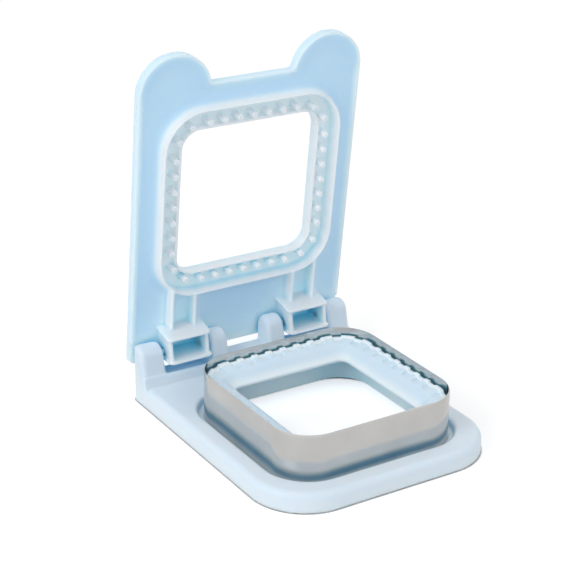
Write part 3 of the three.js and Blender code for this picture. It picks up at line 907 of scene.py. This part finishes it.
# %% [markdown]
# ## Lid
# The lid is drawn as it lies when shut. Its outline is drawn with the ruler and the compass:
# a point is moved for each straight edge and spun for each arc, on one half, which is then
# mirrored and filled. A narrow border stands up along its edge, and stops before the lugs,
# so the same outline, taken in by the border's width, is cut out of the panel.

# %% Panel of the lid
LID_SIDE = 60.2
LID_FRONT = -59.3
LID_REAR = HINGE_Y + 7.5
LID_CORNER = 3
LID_TOP = 33.4
EAR_TIP = -75.5
EAR_RADIUS = 18.9
EAR_FILLET = 2.5
EAR_STEPS = 48
FILLET_STEPS = 8
EAR = (LID_SIDE - EAR_RADIUS, EAR_TIP + EAR_RADIUS)
BORDER_WIDTH = 1.2
BORDER_HEIGHT = 1.3
BORDER_END = HINGE_Y - 4.6


def lid_outline(name, inset, low, high):
    """The lid's outline as a solid, taken in by an inset."""
    fillet_y = LID_FRONT - EAR_FILLET
    reach = EAR_RADIUS + EAR_FILLET
    fillet = (EAR[0] - sqrt(reach ** 2 - (fillet_y - EAR[1]) ** 2), fillet_y)
    meet = atan2(EAR[1] - fillet_y, EAR[0] - fillet[0])
    side = LID_SIDE - inset
    mesh = bmesh.new()
    here = mesh.verts.new((0, LID_FRONT + inset, low))
    here = go_to(mesh, here, fillet[0], LID_FRONT + inset)
    here = go_round(mesh, here, fillet, meet - pi / 2, FILLET_STEPS)
    here = go_round(mesh, here, EAR, pi - meet, EAR_STEPS)
    corner = (side - LID_CORNER, LID_REAR - LID_CORNER)
    here = go_to(mesh, here, side, corner[1])
    here = go_round(mesh, here, corner, pi / 2, ROUND_STEPS)
    go_to(mesh, here, 0, LID_REAR)
    mirror_across(mesh, "X")
    return fill_outline(name, mesh, high - low)


def lid_panel():
    """The panel, with a raised border that ends before the lugs."""
    tip = LID_UNDER - BORDER_HEIGHT
    low = tip - CLEAR
    wide = LID_SIDE + CLEAR
    panel = lid_outline("lid_fine", 0, tip, LID_TOP)
    return combine(panel, [
        lid_outline("recess", BORDER_WIDTH, low, LID_UNDER),
        block("hinge_end", (-wide, BORDER_END, low), (wide, LID_REAR + CLEAR, LID_UNDER)),
    ], "DIFFERENCE")


# %% [markdown]
# The panel doesn't meet the border in a corner but in a curve, narrow along the sides and
# wide on the ears, which are dished like saucers. A curve of changing width is easier to
# press into the softened mesh than to cut: each point near the border is raised by how
# near it is.

# %% Dish of the panel
DISH_RISE = 0.8 * BORDER_HEIGHT
SIDE_CURVE = 2.6
EAR_CURVE = 7
EAR_START = -54
EAR_BLEND = 8
BORDER_FADE = 3
ON_BORDER = 0.2
ABOVE_PANEL = 0.3


def edge_distance(x, y):
    """How far a point of the panel is from the lid's outline."""
    side = LID_SIDE - abs(x)
    ear = EAR_RADIUS - hypot(abs(x) - EAR[0], y - EAR[1])
    return max(min(side, y - LID_FRONT), ear)


def dish(piece):
    """Blend the panel into its border."""
    for vert in piece.data.vertices:
        x, y, z = vert.co
        inwards = edge_distance(x, y) - BORDER_WIDTH
        if inwards < -ON_BORDER or z > LID_UNDER + ABOVE_PANEL or y > BORDER_END:
            continue
        on_ear = min(1, max(0, (EAR_START - y) / EAR_BLEND))
        width = SIDE_CURVE + EAR_CURVE * on_ear
        share = max(0, 1 - max(0, inwards) / width)
        fade = min(1, (BORDER_END - y) / BORDER_FADE)
        vert.co.z = min(z, LID_UNDER - DISH_RISE * share ** 2 * fade)


# %% [markdown]
# A rim and a low wall stand round the window, with a trough between them for the pegs.
# The rim's foot flows into the panel in a wide round fillet.

# %% Frame round the window
RIM_INNER = 47.1
RIM_HALF = 48.3
RIM_TIP = 23.2
RIM_LIP = 0.6
RIM_LIP_DEPTH = 2.5
RIM_ROUND = 0.35
LIP_ROUND = 0.2
RIM_FILLET = 5
TROUGH = 31
WINDOW = 37.2
WINDOW_WALL = 38.6
WINDOW_TIP = 27


def lid_rim():
    return track_ring("rim", [
        (RIM_HALF + RIM_FILLET, TROUGH),
        (RIM_HALF + RIM_FILLET, LID_UNDER),
        (RIM_HALF, LID_UNDER, RIM_FILLET),
        (RIM_HALF, RIM_TIP, RIM_ROUND),
        (RIM_INNER + RIM_LIP, RIM_TIP, LIP_ROUND),
        (RIM_INNER, RIM_TIP + RIM_LIP_DEPTH),
        (RIM_INNER, TROUGH),
    ])


def window_frame():
    return track_ring("window_frame", [
        (WINDOW, WINDOW_TIP, SMALL_ROUND),
        (WINDOW_WALL, WINDOW_TIP, SMALL_ROUND),
        (WINDOW_WALL, LID_TOP),
        (WINDOW, LID_TOP),
    ])


def trough():
    return track_ring("trough", [
        (WINDOW_WALL, RIM_TIP),
        (RIM_INNER, RIM_TIP),
        (RIM_INNER, TROUGH),
        (WINDOW_WALL, TROUGH),
    ])


# %% [markdown]
# Each hinge block is a short box with open ends: two plates with rounded corners, two side
# walls set in from the plates' ends, small webs in the corners, and two ribs that tie it
# to the rim.

# %% Plates of a hinge block
BLOCK_NEAR = 22.3
BLOCK_FAR = 46.3
BLOCK_WALL = 1.8
BLOCK_INSET = 1.2
PLATE = 1.4
PLATE_ROUND = 2.5
FRONT_DROP = 7.2
REAR_DROP = 10.4


def plate_face(tip_reach, tip_drop, root_reach):
    """Where a plate's outer face is at a height."""
    tip = HINGE_Z - tip_drop
    return lambda z: HINGE_Y + tip_reach + (root_reach - tip_reach) * (z - tip) / (LID_UNDER - tip)


front_face = plate_face(tip_reach=-9.7, tip_drop=FRONT_DROP, root_reach=-11.4)
rear_face = plate_face(tip_reach=2.6, tip_drop=REAR_DROP, root_reach=3.7)


def hinge_plate(name, face, thickness, drop):
    tip = HINGE_Z - drop
    slab = prism(name, [
        (BLOCK_NEAR, face(tip), tip),
        (BLOCK_NEAR, face(tip) + thickness, tip),
        (BLOCK_NEAR, face(TROUGH) + thickness, TROUGH),
        (BLOCK_NEAR, face(TROUGH), TROUGH),
    ], (BLOCK_FAR - BLOCK_NEAR, 0, 0))
    start = HINGE_Y - AMPLE / 2
    front = prism(name + "_front", [
        (BLOCK_NEAR, start, TROUGH),
        (BLOCK_NEAR, start, tip, PLATE_ROUND),
        (BLOCK_FAR, start, tip, PLATE_ROUND),
        (BLOCK_FAR, start, TROUGH),
    ], (0, AMPLE, 0))
    return combine(slab, [front], "INTERSECT")


# %% Sides, webs and ribs
SIDE_SHORT = 1.2
GUSSET_DROP = 7
GUSSET_LEG = 4
GUSSET_TOE = 1
RIB_HALF = 0.75


def block_side(near):
    front_low = HINGE_Z - FRONT_DROP + SIDE_SHORT
    rear_low = HINGE_Z - REAR_DROP + SIDE_SHORT
    middle = PLATE / 2
    return prism("block_side", [
        (near, front_face(front_low) + middle, front_low),
        (near, rear_face(rear_low) - middle, rear_low),
        (near, rear_face(TROUGH) - middle, TROUGH),
        (near, front_face(TROUGH) + middle, TROUGH),
    ], (BLOCK_WALL, 0, 0))


def gusset(wall, way):
    low = LID_UNDER - GUSSET_DROP
    plate = front_face(LID_UNDER) + PLATE / 2
    start = wall - way * BLOCK_WALL / 2
    leg_x = GUSSET_LEG + BLOCK_WALL / 2
    leg_y = GUSSET_LEG + PLATE
    return prism("gusset", [
        (start, plate + leg_y, low),
        (start, plate + leg_y - GUSSET_TOE, low),
        (start + way * (leg_x - GUSSET_TOE), plate, low),
        (start + way * leg_x, plate, low),
    ], (0, 0, TROUGH - low))


def lid_rib(x):
    return block(
        "lid_rib",
        (x - RIB_HALF, PEG_HALF, RIM_TIP),
        (x + RIB_HALF, front_face(RIM_TIP) + PLATE / 2, TROUGH),
    )


# %% [markdown]
# The block is put together and gets a blind seat in each side, which turns on the end of
# a pin. It is made apart from the lid, so that its hollow stays open when the lid's own
# cuts are done.

# %% Hinge block
PIN_SEAT = 1.3


def hinge_block():
    near = BLOCK_NEAR + BLOCK_INSET
    far = BLOCK_FAR - BLOCK_INSET - BLOCK_WALL
    whole = hinge_plate("front_plate", front_face, PLATE, FRONT_DROP)
    combine(whole, [
        hinge_plate("rear_plate", rear_face, -PLATE, REAR_DROP),
        block_side(near),
        block_side(far),
        gusset(near + BLOCK_WALL, 1),
        gusset(far, -1),
    ], "UNION")
    near_end = near + PIN_SEAT
    far_end = far + BLOCK_WALL - PIN_SEAT
    return combine(whole, [
        bar("near_seat", SEAT_RADIUS, BLOCK_NEAR - CLEAR, near_end, HINGE_Y, HINGE_Z),
        bar("far_seat", SEAT_RADIUS, far_end, BLOCK_FAR + CLEAR, HINGE_Y, HINGE_Z),
    ], "DIFFERENCE")


# %% [markdown]
# The pegs are turned shapes, so one profile is spun round its own axis: a small dimple in
# the tip, a rounded shoulder, a straight shank and a flare where it meets the trough.

# %% Pegs
PEG_TIP = 24.6
PEG_STEPS = 20
PEG_ROOT = TROUGH + 0.8
PEG_PROFILE = [
    (0, PEG_TIP + 0.45),
    (0.45, PEG_TIP + 0.36),
    (0.75, PEG_TIP + 0.04),
    (0.95, PEG_TIP),
    (1.2, PEG_TIP + 0.06),
    (1.42, PEG_TIP + 0.26),
    (1.5, PEG_TIP + 0.6),
    (1.52, TROUGH - 1.4),
    (1.66, TROUGH - 0.5),
    (2.1, TROUGH),
    (2.1, PEG_ROOT),
    (0, PEG_ROOT),
]


def pegs():
    mesh = bmesh.new()
    for place in peg_places():
        verts = [mesh.verts.new(place @ Vector((radius, 0, z))) for radius, z in PEG_PROFILE]
        edges = [mesh.edges.new(pair) for pair in zip(verts, verts[1:])]
        bmesh.ops.spin(
            mesh,
            geom=verts + edges,
            cent=place.translation,
            axis=(0, 0, 1),
            angle=2 * pi,
            steps=PEG_STEPS,
            use_merge=True,
            use_duplicate=False,
        )
    return to_object("pegs", mesh)


# %% [markdown]
# The ribs run into the rim, so both are joined before the trough is cut, and the trough's
# wall stays smooth. The small parts of the window frame and the hinge blocks follow. The
# pegs come last, after the skin, because their tips are finer than its grid.

# %% Lid
RIB_SPREAD = 6.25


def make_lid():
    lid = lid_panel()
    middle = (BLOCK_NEAR + BLOCK_FAR) / 2
    ribs = [lid_rib(middle - RIB_SPREAD), lid_rib(middle + RIB_SPREAD)]
    combine(lid, [lid_rim()], "UNION")
    combine(lid, ribs + [mirrored(rib) for rib in ribs], "UNION")
    combine(lid, [
        track_block("window", WINDOW, RIM_TIP - CLEAR, LID_TOP + CLEAR),
        trough(),
    ], "DIFFERENCE")
    hinge_part = hinge_block()
    combine(lid, [window_frame(), hinge_part, mirrored(hinge_part)], "UNION")
    soften(lid, grid=0.45, passes=4, share=0.4)
    dish(lid)
    combine(lid, [pegs()], "UNION")
    return finish(lid, TO_LID, "lid", "lid")


lid = make_lid()

# %% [markdown]
# ## Materials
# Each finish is a tree of nodes, and the same few kinds of node come back in all of them:
# a noise on the piece's own coordinates, a range that turns a value into another, a mix of
# two colours, a bump. A short function for each keeps the finishes readable.

# %% Node helpers
def new_material(name):
    material = bpy.data.materials.new(name)
    material.use_nodes = True
    tree = material.node_tree
    shader = tree.nodes["Principled BSDF"]
    place = tree.nodes.new("ShaderNodeTexCoord").outputs["Object"]
    return material, tree, shader, place


def noise_node(tree, place, scale, detail, stretch=(1, 1, 1)):
    mapping = tree.nodes.new("ShaderNodeMapping")
    mapping.inputs["Scale"].default_value = stretch
    tree.links.new(place, mapping.inputs["Vector"])
    node = tree.nodes.new("ShaderNodeTexNoise")
    node.inputs["Scale"].default_value = scale
    node.inputs["Detail"].default_value = detail
    tree.links.new(mapping.outputs["Vector"], node.inputs["Vector"])
    return node.outputs["Fac"]


def between(tree, value, low, high, start=0.3, end=0.7):
    node = tree.nodes.new("ShaderNodeMapRange")
    node.inputs["From Min"].default_value = start
    node.inputs["From Max"].default_value = end
    node.inputs["To Min"].default_value = low
    node.inputs["To Max"].default_value = high
    tree.links.new(value, node.inputs["Value"])
    return node.outputs["Result"]


def mix_colours(tree, value, first, second):
    node = tree.nodes.new("ShaderNodeMix")
    node.data_type = "RGBA"
    tree.links.new(value, node.inputs["Factor"])
    for socket, colour in (("A", first), ("B", second)):
        target = [item for item in node.inputs if item.name == socket and item.type == "RGBA"][0]
        if isinstance(colour, tuple):
            target.default_value = (*colour, 1)
        else:
            tree.links.new(colour, target)
    return [item for item in node.outputs if item.type == "RGBA"][0]


def calculate(tree, operation, first, second):
    node = tree.nodes.new("ShaderNodeMath")
    node.operation = operation
    tree.links.new(first, node.inputs[0])
    tree.links.new(second, node.inputs[1])
    return node.outputs[0]


def bump(tree, shader, height, strength, distance):
    node = tree.nodes.new("ShaderNodeBump")
    node.inputs["Strength"].default_value = strength
    node.inputs["Distance"].default_value = distance
    tree.links.new(height, node.inputs["Height"])
    tree.links.new(node.outputs["Normal"], shader.inputs["Normal"])


# %% [markdown]
# The plastic is a pale blue with a satin skin. Its colour drifts a little, as pigment does,
# and a very fine grain breaks up the gloss. Light goes into it and comes out again close
# by, so all of it is scattered under the skin, deeper in the lid than in the tray. Light is
# also painted into its colour: a paler painted glow where a wall is thin, as if light shone
# through it, a painted tint in sheltered places, and a stronger painted blue in a hollow,
# for light that passes through it more than once. Occlusion finds these places: inwards it
# measures the wall, and outwards how sheltered a place is. Above the hinge blocks no place
# gets the painted hollow blue, because the trough round the window is shallow and open to the
# light.

# %% Plastic
WALL_REACH = 0.0045
SPACE_REACH = 0.03
HOLLOW_END = 0.3
HOLLOWS_TOP = 0.045
OPEN_FROM = 0.07


def free_reach(tree, reach, inside):
    """How free the space is before a spot, or how deep the plastic behind it, from 0 to 1."""
    node = tree.nodes.new("ShaderNodeAmbientOcclusion")
    node.samples = 6
    node.inside = inside
    node.inputs["Distance"].default_value = reach
    return node.outputs["AO"]


def plastic(name, light, deep, thin, painted_shelter_tint, shelter_end, painted_hollow_tint, depth):
    material, tree, shader, place = new_material(name)
    drift = between(tree, noise_node(tree, place, scale=35, detail=3), 0, 1)
    grain = noise_node(tree, place, scale=2600, detail=2)
    wall = free_reach(tree, WALL_REACH, inside=True)
    wall = between(tree, wall, 0, 1, start=0.2, end=0.7)
    parts = tree.nodes.new("ShaderNodeSeparateXYZ")
    tree.links.new(place, parts.inputs[0])
    # Above the hinge blocks the painted hollow blue is held off.
    least = between(tree, parts.outputs["Z"], 0, HOLLOW_END, start=HOLLOWS_TOP, end=OPEN_FROM)
    space = calculate(tree, "MAXIMUM", free_reach(tree, SPACE_REACH, inside=False), least)
    open_air = between(tree, space, 0, 1, start=0.25, end=shelter_end)
    not_hollow = between(tree, space, 0, 1, start=0.05, end=HOLLOW_END)
    colour = mix_colours(tree, drift, deep, light)
    # Painted glow: a thin wall gets the paler thin colour, as if light shone through it.
    colour = mix_colours(tree, wall, thin, colour)
    # Painted tint in sheltered places, for light that bounces there.
    colour = mix_colours(tree, open_air, painted_shelter_tint, colour)
    # Painted blue in hollows, for light that passes through the plastic more than once.
    colour = mix_colours(tree, not_hollow, painted_hollow_tint, colour)
    tree.links.new(colour, shader.inputs["Base Color"])
    tree.links.new(between(tree, grain, 0.34, 0.46), shader.inputs["Roughness"])
    shader.inputs["IOR"].default_value = 1.48
    shader.inputs["Subsurface Weight"].default_value = 1
    shader.inputs["Subsurface Radius"].default_value = (0.7, 0.9, 1)
    shader.inputs["Subsurface Scale"].default_value = depth
    bump(tree, shader, grain, strength=0.08, distance=0.0001)
    return material


# %% [markdown]
# The steel is polished, so it shows the surround and the tray. Rolling leaves faint lines
# along the strip: a noise that is drawn out along it, in the roughness and in a slight
# bump. A slower noise clouds the metal's colour a little.

# %% Steel
def steel(name, colour, dark, smooth, rough, stretch):
    material, tree, shader, place = new_material(name)
    lines = noise_node(tree, place, scale=900, detail=3, stretch=stretch)
    cloud = between(tree, noise_node(tree, place, scale=60, detail=2), 0, 1)
    tree.links.new(mix_colours(tree, cloud, dark, colour), shader.inputs["Base Color"])
    tree.links.new(between(tree, lines, smooth, rough), shader.inputs["Roughness"])
    shader.inputs["Metallic"].default_value = 1
    bump(tree, shader, lines, strength=0.05, distance=0.00005)
    return material


# %% [markdown]
# Tray, ring and lid are moulded of the same pale blue, but each gets its own colours: the tray
# and ring are paler, light painted onto their upward faces, and the lid is a deeper blue,
# painted shade on its upright panel. The short hinge pins are of the lid's plastic.

# %% The finishes, piece by piece
def dress(piece, material):
    piece.data.materials.clear()
    piece.data.materials.append(material)


# Tray and ring are paler than the lid: painted light on their upward faces.
tray_plastic = plastic(
    "tray_plastic",
    light=(0.66, 0.76, 0.85),
    deep=(0.64, 0.745, 0.84),
    thin=(0.69, 0.78, 0.86),
    painted_shelter_tint=(0.8, 0.89, 0.98),
    shelter_end=0.8,
    painted_hollow_tint=(0.35, 0.68, 1),
    depth=0.0015,
)
ring_plastic = plastic(
    "ring_plastic",
    light=(0.65, 0.78, 0.88),
    deep=(0.63, 0.765, 0.87),
    thin=(0.84, 0.9, 0.95),
    painted_shelter_tint=(0.42, 0.8, 1),
    shelter_end=0.45,
    painted_hollow_tint=(0.36, 0.78, 1),
    depth=0.001,
)
# The lid's deeper blue is painted shade on its upright panel.
lid_plastic = plastic(
    "lid_plastic",
    light=(0.53, 0.72, 0.88),
    deep=(0.51, 0.705, 0.87),
    thin=(0.76, 0.85, 0.99),
    painted_shelter_tint=(0.82, 0.92, 1),
    shelter_end=0.8,
    painted_hollow_tint=(0.15, 0.7, 1),
    depth=0.006,
)
dress(tray, tray_plastic)
dress(crimp_ring, ring_plastic)
dress(lid, lid_plastic)
dress(cutting_band, steel(
    "band_steel",
    colour=(0.62, 0.61, 0.595),
    dark=(0.56, 0.555, 0.545),
    smooth=0.08,
    rough=0.16,
    stretch=(0.05, 0.05, 1),
))
for name, node in frame["nodes"].items():
    if name.startswith("hinge_pin"):
        for slot in node.material_slots:
            slot.material = lid_plastic
print(len(bpy.data.materials), "materials")

# %% [markdown]
# ## Floor, world and lamps
# The tool stands on a plain white floor that runs into a white surround. The camera and
# the steel see pure white there, while the plastic gets a softer light from it.

# %% White surround
SKY_LIGHT = 0.8


def seen_straight(tree):
    """1 where the camera sees a place, also by way of metal or glass, and 0 elsewhere."""
    rays = tree.nodes.new("ShaderNodeLightPath").outputs
    seen = calculate(tree, "MAXIMUM", rays["Is Camera Ray"], rays["Is Glossy Ray"])
    return calculate(tree, "MAXIMUM", seen, rays["Is Transmission Ray"])


def white_world():
    world = bpy.data.worlds.new("white_world")
    world.use_nodes = True
    tree = world.node_tree
    tree.nodes.clear()
    soft = tree.nodes.new("ShaderNodeBackground")
    soft.inputs["Color"].default_value = (1, 1, 1, 1)
    soft.inputs["Strength"].default_value = SKY_LIGHT
    white = tree.nodes.new("ShaderNodeBackground")
    white.inputs["Strength"].default_value = 1
    white.inputs["Color"].default_value = (1, 1, 1, 1)
    mix = tree.nodes.new("ShaderNodeMixShader")
    tree.links.new(seen_straight(tree), mix.inputs[0])
    tree.links.new(soft.outputs[0], mix.inputs[1])
    tree.links.new(white.outputs[0], mix.inputs[2])
    out = tree.nodes.new("ShaderNodeOutputWorld")
    tree.links.new(mix.outputs[0], out.inputs["Surface"])
    bpy.context.scene.world = world


white_world()

# %% [markdown]
# Under such a soft light a white floor renders a little grey, so it also glows by about
# what is missing, but only where it is looked at: the tool gets no light from the glow,
# and its reflection in the steel glows less. Near the tool, where the sky is partly
# hidden, it glows a little more, so the shadow is as faint as in the photograph. Right at
# the tray's foot it doesn't glow and is darker, so the line of contact stays.

# %% White floor
FLOOR_HALF = 3
FOOT_REACH = 0.002
SKY_REACH = 0.06


def white_floor():
    mesh = bmesh.new()
    bmesh.ops.create_grid(mesh, x_segments=1, y_segments=1, size=FLOOR_HALF)
    floor = to_object("floor", mesh)
    material = bpy.data.materials.new("floor_white")
    material.use_nodes = True
    tree = material.node_tree
    shader = tree.nodes["Principled BSDF"]
    shader.inputs["Roughness"].default_value = 1
    shader.inputs["Specular IOR Level"].default_value = 0
    camera = tree.nodes.new("ShaderNodeLightPath").outputs["Is Camera Ray"]
    off_foot = free_reach(tree, FOOT_REACH, inside=False)
    off_foot = between(tree, off_foot, 0, 1, start=0.5, end=0.8)
    missing = free_reach(tree, SKY_REACH, inside=False)
    missing = between(tree, missing, 0.65, 0.3, start=0.35, end=0.75)
    for_camera = between(tree, camera, 0.3, 1, start=0, end=1)
    glow = calculate(tree, "MULTIPLY", missing, for_camera)
    lift = tree.nodes.new("ShaderNodeEmission")
    tree.links.new(calculate(tree, "MULTIPLY", glow, off_foot), lift.inputs["Strength"])
    # Painted contact shadow: the floor's colour turns darker right at the tray's foot.
    tree.links.new(between(tree, off_foot, 0.3, 0.8, start=0, end=1), shader.inputs["Base Color"])
    plain = tree.nodes.new("ShaderNodeAddShader")
    tree.links.new(shader.outputs[0], plain.inputs[0])
    tree.links.new(lift.outputs[0], plain.inputs[1])
    mix = tree.nodes.new("ShaderNodeMixShader")
    tree.links.new(seen_straight(tree), mix.inputs[0])
    tree.links.new(shader.outputs[0], mix.inputs[1])
    tree.links.new(plain.outputs[0], mix.inputs[2])
    tree.links.new(mix.outputs[0], tree.nodes["Material Output"].inputs["Surface"])
    dress(floor, material)
    floor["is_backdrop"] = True


white_floor()

# %% [markdown]
# A broad lamp high on the left makes that side brighter, as in the photograph, and a weaker
# one in front opens the shadows. Both are large discs, so the shadows have soft edges.

# %% Lamps
TOOL_MIDDLE = Vector((0, -0.07, 0.05))


def soft_lamp(name, place, size, power):
    data = bpy.data.lights.new(name, "AREA")
    data.shape = "DISK"
    data.size = size
    data.energy = power
    lamp = bpy.data.objects.new(name, data)
    lamp.location = place
    aim = TOOL_MIDDLE - lamp.location
    lamp.rotation_euler = aim.to_track_quat("-Z", "Y").to_euler()
    bpy.context.scene.collection.objects.link(lamp)


soft_lamp("key_lamp", place=(-1.3, -0.35, 0.95), size=0.9, power=8)
soft_lamp("fill_lamp", place=(0.2, -1.3, 1.1), size=0.8, power=1.5)
bpy.context.scene.view_settings.view_transform = "Standard"
print(len(bpy.data.lights), "lamps")

# %% [markdown]
# ## Size
# The dressed tool should keep the size of the imported model, so both boxes are worked out
# and shown side by side at the end.

# %% Sizes before and after
sizes = {"cad": cad_box, "visual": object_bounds()}
{name: [list(corner) for corner in box] for name, box in sizes.items()}
